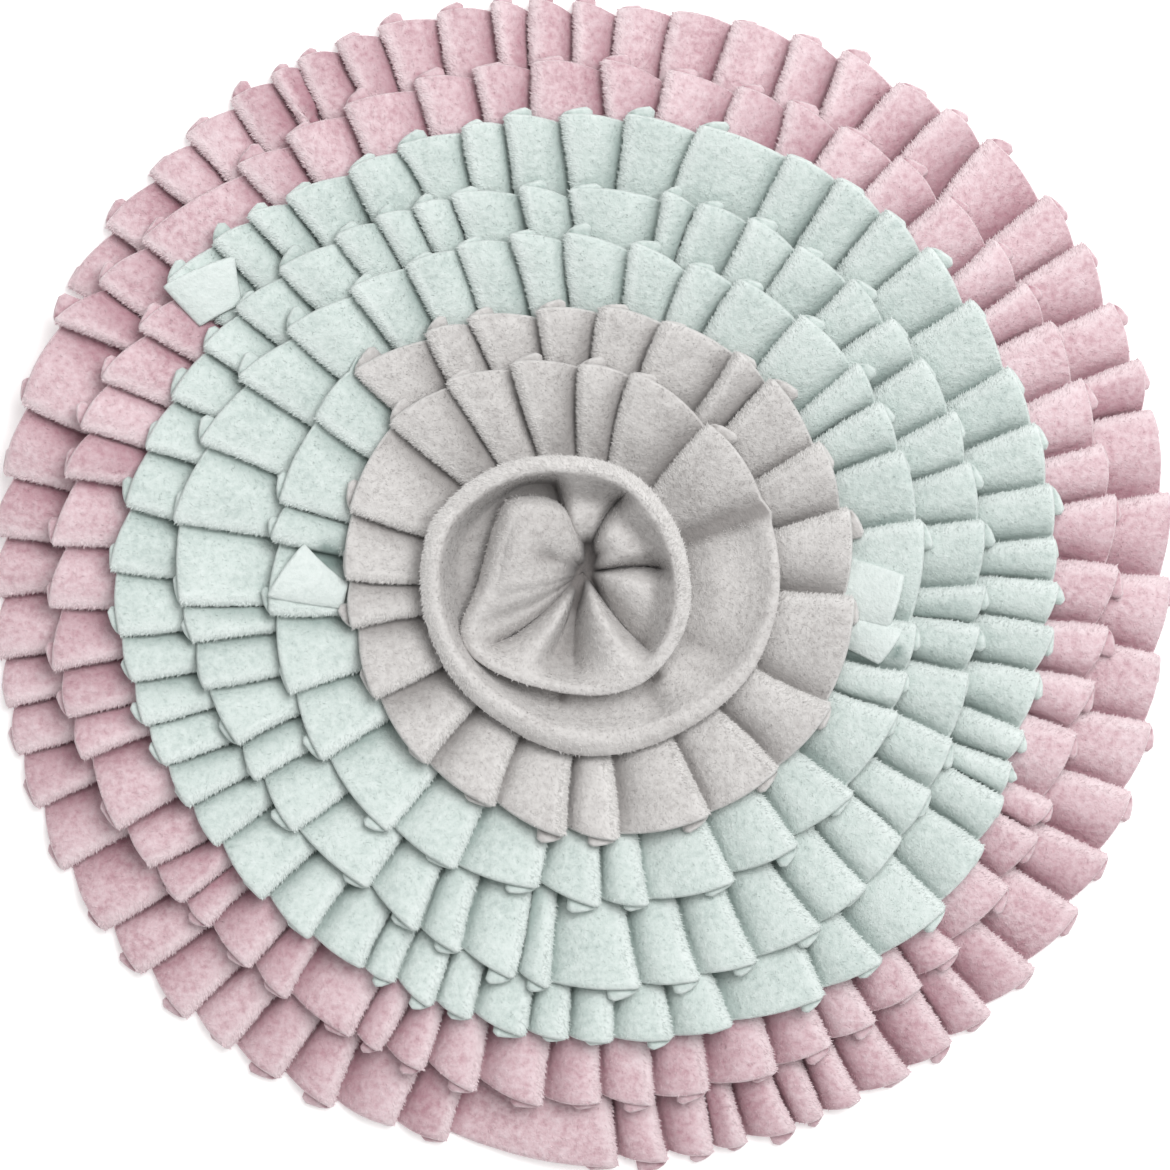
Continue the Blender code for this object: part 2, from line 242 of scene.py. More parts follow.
# Painted shade for gaps between folds, by strip: where each is in the frame, and how far the painted
# shade reaches. The sheet is closed there, and only its colour is darker
GAP_SHADE = {
    "grey": ((-6.5, -37.3, 1.8), (24.0, -30.5, 2.0)),
    "mint": ((-82.5, 8.4, 5.0), (84.6, -21.6, 2.4), (88.6, -23.9, 2.2), (101.6, -22.4, 2.0),
             (-120.2, 86.7, 2.2)),
    "pink": (),
}

# The fold value is painted light, set by how deep a spot lies: painted shade that is DEEPEST in a gap
# and 1 in a crevice, 0 on open cloth, and a painted highlight of CREST_FOLD on a crest. CREVICE and
# CREST are how far the painted shade and highlight reach, in millimetres
DEEPEST = 1.3
CREST_FOLD = -0.8
CREVICE = 1.9
CREST = 1.9
# The fold value below which cloth counts as a crest for the nap
NAP_CREST = -0.25
# Fibres of the nap, in millimetres: a real one is about 0.02 wide and too fine to show, so each
# is drawn as wide as a small lock of them
NAP_LONG = 1.25
NAP_WIDE = 0.38
NAP_THICK = 0.06
NAP_COUNT = 59000

# Sizes of the patterns and depths of the bumps, in millimetres: tufts of pile are 1 to 3 across,
# drift is the way that the pile was last stroked, fibres are drawn as locks since single ones are
# too fine to show, and so are the felt's flecks
TUFT, TUFT_DEEP = 2.38, 1.6
DRIFT = 22.2
FIBRE, FIBRE_DEEP = 0.909, 0.6
FLECK, FLECK_DEEP = 1.111, 0.5

# Pleats of each strip: the number that picks their unevenness, how far the panels swell, how far
# the painted shade of a crevice reaches as a multiple of CREVICE, and how far the free edge waves
PLEAT_LOOKS = {
    "grey": (3, 2.0, 2.6, 0.5),
    "mint": (5, 1.1, 1.4, 0.6),
    "pink": (7, 1.6, 3.2, 1.1),
}

# Steps of the surfaces: points of a pleat's run, and rows from the seam to the free edge
PLEAT_POINTS = {"hidden": 3, "crown": 12, "nose": 5, "back": 2, "fold": 4}
ROWS = 12
CUP_ROWS = 28


def wobble(index, salt):
    """An even spread of values between -1 and 1: the fraction of a large sine of the index."""
    value = np.sin(np.asarray(index) * 12.9898 + salt * 78.233) * 43758.5453
    return 2.0 * (value - np.floor(value)) - 1.0


def ease(x):
    """Zero below 0, one above 1, and a smooth cubic between."""
    x = np.clip(x, 0.0, 1.0)
    return x * x * (3.0 - 2.0 * x)


def lumps(x, y, z, size):
    """Soft unevenness between about -1 and 1: three crossed sine waves of nearly one length."""
    k = 2.0 * math.pi / size
    return (np.sin(k * (0.9 * x + 0.4 * y) + 1.3) * np.cos(k * (0.8 * y - 0.5 * z) + 0.4)
            + np.sin(k * (0.7 * y - 0.6 * x + 0.5 * z) + 2.1)) / 1.8


def seam_radius(turn):
    """Radius of the sewn edge: an even spiral."""
    return SEAM_START + SEAM_PITCH * np.maximum(turn, 0.0) / 360.0


def turns_beneath(turn):
    """How many turns lie under this one, dropping by one over a short part of each turn."""
    left = np.maximum((OUTER_END - turn) / 360.0, 0.0)
    return np.floor(left) + ease((left - np.floor(left) - SETTLE) / (1.0 - SETTLE))


def lift(turn, along, reach):
    """Height gained from the seam: a plain slope over the turns beneath, which flattens past
    the next seam where fewer than two lie there, and settles on the floor where none does."""
    beneath = turns_beneath(turn)
    at_seam = RISE * np.minimum(1.0, beneath)
    at_edge = RISE * reach / SEAM_PITCH * np.minimum(1.0, beneath / 2)
    at_edge = at_edge - DROOP * np.clip(1.0 - beneath, 0.0, 1.0)
    beyond = at_seam + (at_edge - at_seam) * (along - SEAM_PITCH) / (reach - SEAM_PITCH)
    near = at_seam * along / SEAM_PITCH
    return np.where(beneath >= 2.0, RISE * along / SEAM_PITCH,
                    np.where(along < SEAM_PITCH, near, beyond))


def pleats(begin, edges, ridge, parts, looks):
    """A run of knife pleats as (turn, radius, height, fold) grids, from seam to free edge.

    Each pleat goes flat under the last ridge, rises over a crowned panel, turns round the ridge
    in a half circle, runs back under itself and turns round the hidden fold. A distance across a
    pleat becomes an angle when it is divided by the radius. A ridge has the angle of its table,
    plus a slant that grows evenly towards the seam and a bow that is a sine from seam to edge.
    The panel climbs two layers, less a power of the way that is left, and its crown is a sine.
    The free edge swings out and in by jut and wave, and a sliver of the lower layer sticks out.
    The fold value is painted light: shade as a bell curve of the distance from the crevice, less a
    highlight as one from the crest."""
    salt, plump, crevice, wave = looks
    crevice = crevice * CREVICE
    place, reach_out = np.array(edges, dtype=float).T
    count = len(ridge)

    def uneven(kind):
        number, middle, spread = UNEVEN[kind]
        return middle + spread * wobble(ridge, salt + number)

    edge = np.interp(ridge, place, reach_out)
    last = np.concatenate([[begin], ridge[:-1]])
    last_edge = np.concatenate([[np.interp(begin, place, reach_out)], edge[:-1]])
    width = np.radians(ridge - last) * edge
    lap = np.minimum(UNDERLAP, UNDERLAP_SHARE * width) * uneven("lap")
    last_lap = np.concatenate([[0.55 * lap[0]], lap[:-1]])
    puff = plump * uneven("puff")
    bulge = plump * uneven("bulge")
    jut = wave + uneven("jut")
    sliver = np.maximum(0.1, uneven("sliver"))
    round_out = (0.5 * wave * uneven("wave"))[None, :, None]
    dark = (crevice * uneven("dark"))[None, :, None]
    last_sliver = np.concatenate([[0.5], sliver[:-1]])
    last_jut = np.concatenate([[0.5], jut[:-1]])
    # The last ridge has none after it, so a usual space stands in for that one
    gap = np.minimum(ridge - last, np.append(ridge[1:] - ridge[:-1], 9.0))
    slant = np.minimum(MOST_SLANT, SLANT_SHARE * gap) * wobble(ridge, salt + 5)
    bow = BOW * np.degrees(1.0 / edge) * wobble(ridge, salt + 8)
    last_bow = np.concatenate([[0.0], bow[:-1]])
    last_slant = np.concatenate([[0.0], slant[:-1]])

    part = parts[:, None, None]
    low = 1.0 - part
    arch = np.sin(math.pi * part ** 1.5)
    ridge_turn = (ridge[:, None] + slant[:, None] * low) + bow[:, None] * arch
    last_turn = (last[:, None] + last_slant[:, None] * low) + last_bow[:, None] * arch
    ridge_seam, last_seam = seam_radius(ridge_turn), seam_radius(last_turn)
    ridge_edge, prior_edge = edge[None, :, None], last_edge[None, :, None]
    ridge_radius = ridge_seam + part * (ridge_edge - ridge_seam)
    last_radius = last_seam + part * (prior_edge - last_seam)
    ridge_lap = np.maximum(lap[None, :, None] * ridge_radius / ridge_edge, LEAST_LAP)
    prior_lap = np.maximum(last_lap[None, :, None] * last_radius / prior_edge, 0.4 * LEAST_LAP)
    half = LAYER / 2

    def changed(name, way=part):
        begin_at, length = PLEAT_CHANGES[name]
        return ease((way - begin_at) / length)

    def degrees_of(mm, radius):
        """The angle that an arc takes at a radius."""
        return np.degrees(mm / radius)

    steps = PLEAT_POINTS
    # Flat under the last ridge
    share = (np.arange(steps["hidden"]) / steps["hidden"])[None, None, :]
    turn_under = last_turn + degrees_of((1 - share) * (half - prior_lap) + share * STEP_IN, last_radius)
    level_under = 0.0 * turn_under
    out_under = (last_sliver + last_jut)[None, :, None] * (1 - share) + share * (
        -jut[None, :, None] - 0.4 * round_out)
    mix_under = 0.0 * turn_under
    # Painted shade under the last ridge
    deep_under = 1.0 + 0.0 * turn_under

    # Over the panel that shows, which is flattened near the seam, where it is painted with shade
    share = (np.arange(steps["crown"]) / steps["crown"])[None, None, :]
    panel_from = last_turn + degrees_of(STEP_IN, last_radius)
    panel_to = ridge_turn - degrees_of(half, ridge_radius)
    turn_panel = panel_from + share * (panel_to - panel_from)
    shoulder = ridge_turn - degrees_of(ridge_lap + SHOULDER, ridge_radius)
    rise = np.clip((turn_panel - panel_from) / (shoulder - panel_from), 0.0, 1.0)
    shown = changed("swells")
    painted_shade = 1.0 - changed("seam_shade_lifts")
    crown = puff[None, :, None] * np.sin(math.pi * share ** 1.3)
    level_panel = 2 * LAYER * (1.0 - (1.0 - rise) ** 2.2) + shown * (
        crown + bulge[None, :, None] * share ** 1.5)
    out_panel = jut[None, :, None] * (2 * share - 1) + round_out * (np.sin(math.pi * share) - 0.4)
    mix_panel = share + 0.0 * turn_panel
    off = np.radians(turn_panel - panel_from) * last_radius
    left = np.radians(panel_to - turn_panel) * ridge_radius
    # Painted shade in the crevice, which fades towards the free edge, less a painted highlight along
    # the crest
    deep_panel = (1.0 - 0.4 * changed("crevice_fades")) * np.exp(-(off / dark) ** 1.6)
    deep_panel = deep_panel + CREST_FOLD * np.exp(-(left / CREST) ** 2)
    deep_panel = deep_panel + (1.0 - deep_panel) * painted_shade

    # Round the ridge
    angle = math.pi / 2 - math.pi * np.arange(steps["nose"]) / (steps["nose"] - 1)
    turn_nose = ridge_turn + degrees_of(half * (np.cos(angle)[None, None, :] - 1.0), ridge_radius)
    share = (np.arange(steps["nose"]) / (steps["nose"] - 1))[None, None, :]
    level_nose = LAYER * 1.5 + half * np.sin(angle)[None, None, :]
    level_nose = level_nose + shown * bulge[None, :, None] * (1.0 - share)
    out_nose = jut[None, :, None] + 0.35 * sliver[None, :, None] * ease(2 * share - 1)
    out_nose = out_nose - 0.4 * round_out * (1.0 - share)
    mix_nose = 1.0 + 0.0 * turn_nose
    # The ridge bears a painted highlight that turns into painted shade as it goes under
    deep_nose = CREST_FOLD + (1.0 - CREST_FOLD) * ease(share * 1.4 - 0.3) + 0.0 * turn_nose
    deep_nose = deep_nose + (1.0 - deep_nose) * painted_shade

    # Back under the panel
    share = ((np.arange(steps["back"]) + 1) / (steps["back"] + 1))[None, None, :]
    turn_back = ridge_turn + degrees_of(-half + share * (LAYER - ridge_lap), ridge_radius)
    level_back = LAYER + 0.0 * turn_back
    out_back = jut[None, :, None] + sliver[None, :, None] * (0.35 + 0.65 * share ** 0.6)
    mix_back = 1.0 + 0.0 * turn_back
    # The layer under the panel and round its hidden fold is painted with shade, which lifts near the
    # free edge where it shows
    deep_back = 1.0 - 0.9 * changed("lower_layer_shows") + 0.0 * turn_back

    # Round the hidden fold
    angle = math.pi / 2 + math.pi * np.arange(steps["fold"]) / steps["fold"]
    turn_turned = ridge_turn + degrees_of(
        half - ridge_lap + half * np.cos(angle)[None, None, :], ridge_radius)
    level_turned = half + half * np.sin(angle)[None, None, :] + 0.0 * turn_turned
    share = (np.arange(steps["fold"]) / steps["fold"])[None, None, :]
    out_turned = (jut + sliver)[None, :, None] - 0.5 * np.sin(math.pi * share)
    mix_turned = 1.0 + 0.0 * turn_turned
    deep_turned = 1.0 - 0.9 * changed("lower_layer_shows") + 0.0 * turn_turned

    def joined(blocks):
        """Stretches of every pleat side by side, and the pleats one after another."""
        wide = [np.broadcast_to(b, (len(parts), count, b.shape[2])) for b in blocks]
        return np.concatenate(wide, 2).reshape(len(parts), -1)

    turn = joined([turn_under, turn_panel, turn_nose, turn_back, turn_turned])
    level = joined([level_under, level_panel, level_nose, level_back, level_turned])
    out = joined([out_under, out_panel, out_nose, out_back, out_turned])
    mix = joined([mix_under, mix_panel, mix_nose, mix_back, mix_turned])
    deep = joined([deep_under, deep_panel, deep_nose, deep_back, deep_turned])
    points = turn.shape[1] // count
    edges = np.repeat(last_edge, points) * (1 - mix) + np.repeat(edge, points) * mix
    anchor = np.repeat(last, points) * (1 - mix) + np.repeat(ridge, points) * mix
    seam = seam_radius(anchor)
    reach = edges - seam
    along = parts[:, None] * reach
    spread = out * changed("swings_out", parts[:, None])
    height = lift(anchor, along, reach) + (lift(anchor, reach, reach) - lift(
        anchor, reach - 1.0, reach)) * spread
    bend = 0.9 * changed("turns_down", parts[:, None]) ** 2
    height = ROOT_Z + height + level - bend * (level > 1.2 * LAYER)
    return turn, seam + along + spread, height, deep


def folds(at, turn, height):
    """Where each angle falls between two table rows, 0 to 1: round over a crest and narrow in
    a crease, as a sine's quarter, and smooth both ways where there is neither. The last value
    is 1 on a crest and 0 in a crease."""
    row = np.clip(np.searchsorted(turn, at, side="right") - 1, 0, len(turn) - 2)
    share = np.clip((at - turn[row]) / (turn[row + 1] - turn[row]), 0.0, 1.0)
    before = np.concatenate([[height[0]], height[:-1]])
    after = np.concatenate([height[1:], [height[-1]]])
    crest = (height > before) & (height > after)
    crease = (height < before) & (height < after)
    up = np.sin(math.pi / 2 * share) ** 0.95
    down = 1.0 - np.sin(math.pi / 2 * (1.0 - share)) ** 0.95
    weight = ease(share)
    weight = np.where(crease[row] & ~crease[row + 1], up, weight)
    weight = np.where(crease[row + 1] & ~crease[row], down, weight)
    raised = np.where(crest, 1.0, np.where(crease | (height < PIT), 0.0, 0.6))
    return row, weight, raised[row] + (raised[row + 1] - raised[row]) * weight


def rounded(values):
    """Values along a run with their corners rounded: a weighted mean over seven neighbours."""
    share = np.hanning(9)[1:-1]
    padded = np.concatenate([np.full(3, values[0]), values, np.full(3, values[-1])])
    return np.convolve(padded, share / share.sum(), "valid")


def cup(parts):
    """The gathered cup as (turn, radius, height, fold) grids. Round the turn, the table's crests
    and creases; from seam to rim, a floor out to each lobe's foot, a quarter ellipse up to its
    belly, a wall, and a flat lip that curls down as the square of the way along it. Each fold
    bends sideways as a sine of its radius. The fold value adds up painted shade in the creases,
    under a brim, in the middle and in the dimple, less a painted highlight on the lip."""

    def stretch(name):
        begin, length = CUP_RUN[name]
        return np.clip((parts[:, None] - begin) / length, 0.0, 1.0)

    def changed(name):
        begin, degrees = CUP_CHANGES[name]
        return ease((at - begin) / degrees)

    turn, *columns = np.array(CUP, dtype=float).T
    edge, edge_z, belly, belly_z, foot, lip, curl, brim_share, bend = columns
    steps = int(round((turn[-1] - turn[0]) / CUP_STEP))
    at = np.linspace(turn[0], turn[-1], steps + 1)
    row, weight, relief = folds(at, turn, belly_z)
    belly, belly_z, foot = (
        v[row] + (v[row + 1] - v[row]) * weight for v in (belly, belly_z, foot))
    edge, edge_z, lip, curl, brim_share, bend = (
        rounded(np.interp(at, turn, v)) for v in (edge, edge_z, lip, curl, brim_share, bend))
    seam = seam_radius(at)
    gathers_end, gathers_fade = CUP_CHANGES["gathers_end"]
    seam = seam - (seam - GATHER_CORE) * ease((gathers_end - at) / gathers_fade)
    outer = changed("skirt_begins")
    foot = np.maximum(foot, seam + 0.5)
    foot = foot + (seam + 0.3 * (belly - seam) - foot) * outer
    floor, low, wall, brim = (stretch(name) for name in ("floor", "rise", "wall", "brim"))
    sweep = 1.0 - np.cos(math.pi / 2 * low)
    radius = seam + (foot - seam) * floor + (belly - foot) * (sweep + (low - sweep) * outer)
    radius = radius + (edge - lip - belly) * wall ** 0.8 + lip * brim
    climb = np.sin(math.pi / 2 * low)
    climb = climb + (low - climb) * outer
    height = ROOT_Z + 0.4 * floor + (belly_z - ROOT_Z - 0.4) * climb
    dip = DIP * relief * brim_share * np.sin(math.pi * np.clip(wall * 1.6, 0.0, 1.0))
    height = height + (edge_z - belly_z) * wall ** 1.6 - dip * (1.0 - outer)
    height = height + 0.06 * lip * np.sin(math.pi * brim) - curl * brim ** 2
    dimple = np.exp(-((at - DIMPLE["turn"]) / DIMPLE["degrees"]) ** 2
                    - ((radius - DIMPLE["radius"]) / DIMPLE["mm"]) ** 2)
    height = height - DIMPLE["deep"] * dimple
    for _ in range(2):
        radius[1:-1] = (radius[:-2] + 6 * radius[1:-1] + radius[2:]) / 8
        height[1:-1] = (height[:-2] + 6 * height[1:-1] + height[2:]) / 8
    # Painted shade in the creases, under the brim, near the middle and before the cloth begins, and in
    # the dimple; a painted highlight on the lip
    crease = (1.0 - relief) ** 1.5 * np.clip(low * 2.0, 0.0, 1.0) * (1.0 - wall)
    hollow = np.maximum(ease(wall * 2.2), changed("shade_begins"))
    shade = 0.5 * hollow * (brim < 0.05) * brim_share
    middle = np.maximum(DEEPEST * (1.0 - ease(low * 1.6)), 1.0 - changed("cloth_begins"))
    deep = 0.7 * crease + shade + middle + 0.8 * dimple - 0.6 * ease(brim * 3.0) * brim_share
    sideways = bend * np.sin(math.pi * np.clip(radius / edge, 0.0, 1.0) ** 0.6) * (1.0 - outer)
    return at + sideways, radius, height, np.minimum(deep, DEEPEST)


def tuck(corners, lift_off, steps):
    """A folded end of cloth as (turn, radius, height, fold) grids: straight between its four
    (radius, degrees) corners, on the ruffle's plain slope plus its own lift, a little crowned as
    a sine across, and turned down at both sides as a high power of the way there."""
    inner, outer = np.array(corners, dtype=float).reshape(2, 2, 2)
    u = np.linspace(0.0, 1.0, steps)[None, :, None]
    v = np.linspace(0.0, 1.0, steps)[:, None, None]
    spot = ((inner[0] * (1 - u) + inner[1] * u) * (1 - v)
            + (outer[0] * (1 - u) + outer[1] * u) * v)
    radius, turn = spot[..., 0], spot[..., 1]
    u, v = u[..., 0], v[..., 0]
    slope = RISE / SEAM_PITCH * (radius - seam_radius(turn))
    crown = 0.7 * np.sin(math.pi * u) * (0.4 + 0.6 * v)
    height = ROOT_Z + slope + lift_off + crown - 1.2 * (1.0 - u) ** 6 - 0.8 * u ** 8
    # A fold value of -0.7 paints a highlight over the whole tuck
    return turn, radius, height, -0.7 + 0.0 * u * v


def sheet(name, turn, radius, height, deep, thick, slot, gap_shade=()):
    """A closed sheet from its middle surface: both faces half a thickness off along the
    surface's normal, joined by a rounded rim on every side. Near the middle it leans evenly
    towards the gathers. Each gap deepens the fold value round its place as a bell curve, which
    paints shade there and makes no hole."""
    angle = np.radians(turn)
    lean = np.clip(1.0 - radius / GATHER_REACH, 0.0, 1.0)
    x = radius * np.cos(angle) + MIDDLE[0] + lean * GATHER_SHIFT[0]
    y = radius * np.sin(angle) + MIDDLE[1] + lean * GATHER_SHIFT[1]
    z = height + 0.25 * lumps(x, y, height, 17.0) * ease((height - ROOT_Z) / 4.0)
    # Painted shade round each gap
    for gap_x, gap_y, reach in gap_shade:
        near = np.exp(-((x - gap_x) ** 2 + (y - gap_y) ** 2) / reach ** 2)
        deep = deep + (DEEPEST - deep) * np.minimum(1.0, 1.8 * near)
    middle = np.stack([x, y, z], 2)
    along = np.gradient(middle, axis=1)
    across = np.gradient(middle, axis=0)
    normal = np.cross(across, along)
    normal /= np.linalg.norm(normal, axis=2, keepdims=True)
    rows, points = x.shape
    rim = np.concatenate([
        np.arange(points), points * np.arange(1, rows) + points - 1,
        points * (rows - 1) + np.arange(points - 2, -1, -1), points * np.arange(rows - 2, 0, -1)])
    outward = np.zeros_like(middle)
    outward[0] -= across[0]
    outward[-1] += across[-1]
    outward[:, 0] -= along[:, 0]
    outward[:, -1] += along[:, -1]
    flat = outward.reshape(-1, 3)[rim]
    flat = flat / np.linalg.norm(flat, axis=1, keepdims=True)
    edge = middle.reshape(-1, 3)[rim] + 0.45 * thick * flat
    top = (middle + normal * thick / 2).reshape(-1, 3)
    under = (middle - normal * thick / 2).reshape(-1, 3)
    corner = (points * np.arange(rows - 1)[:, None] + np.arange(points - 1)[None, :]).ravel()
    total = rows * points
    quads = [
        np.stack([corner, corner + points, corner + points + 1, corner + 1], 1),
        total + np.stack([corner, corner + 1, corner + points + 1, corner + points], 1),
    ]
    loop = np.arange(len(rim))
    after = np.roll(loop, -1)
    quads.append(np.stack([rim[loop], rim[after], 2 * total + after, 2 * total + loop], 1))
    quads.append(np.stack(
        [2 * total + loop, 2 * total + after, total + rim[after], total + rim[loop]], 1))
    deep = deep.ravel()
    # The rim bears a painted highlight along the free edge and where the cloth is open, and elsewhere
    # the fold value of the face beside it
    rim_highlight = (rim >= points * (rows - 1)) | (deep[rim] < 0.5)
    fold = np.concatenate([deep, deep, np.where(rim_highlight, -0.6, deep[rim])])
    piece = mesh_piece(name, np.concatenate([top, under, edge]), np.concatenate(quads), fold)
    return piece, middle + normal * thick / 2, normal, deep.reshape(x.shape)


def mesh_piece(name, points, faces, fold):
    """A smooth-shaded piece from points in millimetres and faces with one count of corners,
    with the fold value of each point as an attribute."""
    mesh = bpy.data.meshes.new(name)
    sides = faces.shape[1]
    mesh.vertices.add(len(points))
    mesh.vertices.foreach_set("co", (points * MM).ravel())
    mesh.loops.add(faces.size)
    mesh.loops.foreach_set("vertex_index", faces.ravel().astype(np.int32))
    mesh.polygons.add(len(faces))
    mesh.polygons.foreach_set("loop_start", np.arange(0, faces.size, sides, dtype=np.int32))
    mesh.polygons.foreach_set("use_smooth", np.ones(len(faces), dtype=bool))
    mesh.attributes.new("fold", "FLOAT", "POINT").data.foreach_set("value", fold)
    mesh.update(calc_edges=True)
    mesh.validate()
    piece = bpy.data.objects.new(name, mesh)
    bpy.context.scene.collection.objects.link(piece)
    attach(piece, "root")
    return piece


def nap(name, surface, normal, fold, shown, count, salt):
    """Raised fibres of the brushed face: flat three-faced spikes, strewn by area over the cells
    that show and four times as thick on crests. On open cloth they lie low, along the way out to
    the free edge with a random turn to either side; on a crest they stand higher and lean over
    the ridge. They are drawn coarser than real fibres, so that they show."""
    corner = surface[:-1, :-1]
    side = surface[:-1, 1:] - corner
    up = surface[1:, :-1] - corner
    area = np.linalg.norm(np.cross(side, up), axis=2)
    weight = area * shown[:-1, :-1] * (1.0 + 3.0 * (fold[:-1, :-1] < NAP_CREST))
    rng = np.random.default_rng(salt)
    cell = rng.choice(weight.size, count, p=(weight / weight.sum()).ravel())
    i, j = np.unravel_index(cell, weight.shape)
    u, v, spin, tall, drift = rng.random((5, count, 1))
    root = corner[i, j] + u * side[i, j] + v * up[i, j]
    out = up[i, j] / np.linalg.norm(up[i, j], axis=1, keepdims=True)
    along = np.cross(normal[i, j], out)
    crest = (fold[i, j] < NAP_CREST)[:, None]
    aside = np.where(crest, 0.2 + 1.3 * spin, 1.8 * (spin - 0.5))
    lean = out * (0.2 + 0.8 * drift) + along * aside
    way = normal[i, j] * np.where(crest, 0.38, 0.1 + 0.25 * v) + lean
    way = way / np.linalg.norm(way, axis=1, keepdims=True)
    tip = root + way * (NAP_LONG * (0.5 + 0.7 * tall))
    across = np.cross(way, normal[i, j])
    across = across / np.linalg.norm(across, axis=1, keepdims=True) * NAP_WIDE / 2
    sunk = root - normal[i, j] * NAP_THICK
    points = np.stack([sunk + across, sunk - across, root + normal[i, j] * NAP_THICK, tip], 1)
    first = 4 * np.arange(count)[:, None, None]
    faces = (first + np.array([[1, 0, 3], [2, 1, 3], [0, 2, 3]])[None]).reshape(-1, 3)
    # Fibres are painted a little paler than the cloth under them, and paler still at the tip: painted
    # highlight
    values = np.repeat(fold[i, j], 4) - np.tile([0.1, 0.1, 0.1, 0.5], count)
    pile = mesh_piece(name, points.reshape(-1, 3), faces, values)
    pile.data.polygons.foreach_set("use_smooth", np.zeros(len(faces), dtype=bool))
    return pile


def linear(hex_colour):
    """An sRGB hex colour as linear red, green, blue and alpha."""
    parts = [int(hex_colour[i:i + 2], 16) / 255.0 for i in (1, 3, 5)]
    return [c / 12.92 if c <= 0.04045 else ((c + 0.055) / 1.055) ** 2.4 for c in parts] + [1.0]


def add(tree, kind, links=(), **settings):
    """A node with its settings; links are (input, socket to feed it) pairs."""
    node = tree.nodes.new(kind)
    for key, value in settings.items():
        if key.startswith("in_"):
            name = key[3:].replace("_", " ")
            node.inputs[int(name) if name.isdigit() else name].default_value = value
        else:
            setattr(node, key, value)
    for socket, source in links:
        tree.links.new(source, node.inputs[socket])
    return node


def fleece(name, painted_highlight, light, mid, deep, crevice):
    """Brushed polar fleece: knitted, napped and sheared, so it is wholly matt, with tufts of
    pile 1 to 3 mm across that lie lighter or darker. Where the fold value is below 0 it mixes
    in a painted highlight, as on crests, and where it is above 0 a painted shade, as in crevices."""
    made = bpy.data.materials.new(name)
    made.use_nodes = True
    tree = made.node_tree
    shader = tree.nodes["Principled BSDF"]
    place = add(tree, "ShaderNodeTexCoord").outputs["Object"]
    tufts = add(tree, "ShaderNodeTexNoise", [("Vector", place)],
                in_Scale=1.0 / (TUFT * MM), in_Detail=5.0, in_Roughness=0.65)
    drift = add(tree, "ShaderNodeTexNoise", [("Vector", place)],
                in_Scale=1.0 / (DRIFT * MM), in_Detail=2.0, in_Roughness=0.5)
    blend = add(tree, "ShaderNodeMix", [(2, tufts.outputs["Fac"]), (3, drift.outputs["Fac"])],
                data_type="FLOAT", in_0=0.3)
    ramp = add(tree, "ShaderNodeValToRGB", [(0, blend.outputs[0])])
    ramp.color_ramp.elements[0].position = 0.34
    ramp.color_ramp.elements[0].color = linear(deep)
    ramp.color_ramp.elements[1].position = 0.66
    ramp.color_ramp.elements[1].color = linear(light)
    middle = ramp.color_ramp.elements.new(0.5)
    middle.color = linear(mid)
    fold = add(tree, "ShaderNodeAttribute", attribute_name="fold")
    # The fold value mixes in the painted shade colour where it is above 0 and the painted highlight
    # colour where it is below 0
    inward = add(tree, "ShaderNodeMapRange", [("Value", fold.outputs["Fac"])],
                 in_From_Min=0.0, in_From_Max=DEEPEST, in_To_Min=0.0, in_To_Max=0.86)
    outward = add(tree, "ShaderNodeMapRange", [("Value", fold.outputs["Fac"])],
                  in_From_Min=0.0, in_From_Max=-1.0, in_To_Min=0.0, in_To_Max=0.60)
    painted_shade = add(tree, "ShaderNodeMix", [(0, inward.outputs[0]), (6, ramp.outputs["Color"])],
                  data_type="RGBA", in_7=linear(crevice))
    highlighted = add(tree, "ShaderNodeMix", [(0, outward.outputs[0]), (6, painted_shade.outputs[2])],
                  data_type="RGBA", in_7=linear(painted_highlight))
    tree.links.new(highlighted.outputs[2], shader.inputs["Base Color"])
    fibres = add(tree, "ShaderNodeTexNoise", [("Vector", place)],
                 in_Scale=1.0 / (FIBRE * MM), in_Detail=3.0, in_Roughness=0.6)
    coarse = add(tree, "ShaderNodeBump", [("Height", tufts.outputs["Fac"])],
                 in_Strength=0.45, in_Distance=TUFT_DEEP * MM)
    fine = add(tree, "ShaderNodeBump",
               [("Height", fibres.outputs["Fac"]), ("Normal", coarse.outputs["Normal"])],
               in_Strength=0.35, in_Distance=FIBRE_DEEP * MM)
    tree.links.new(fine.outputs["Normal"], shader.inputs["Normal"])
    shader.inputs["Roughness"].default_value = 0.95
    shader.inputs["Specular IOR Level"].default_value = 0.15
    shader.inputs["Sheen Weight"].default_value = 0.2
    shader.inputs["Sheen Roughness"].default_value = 0.6
    return made


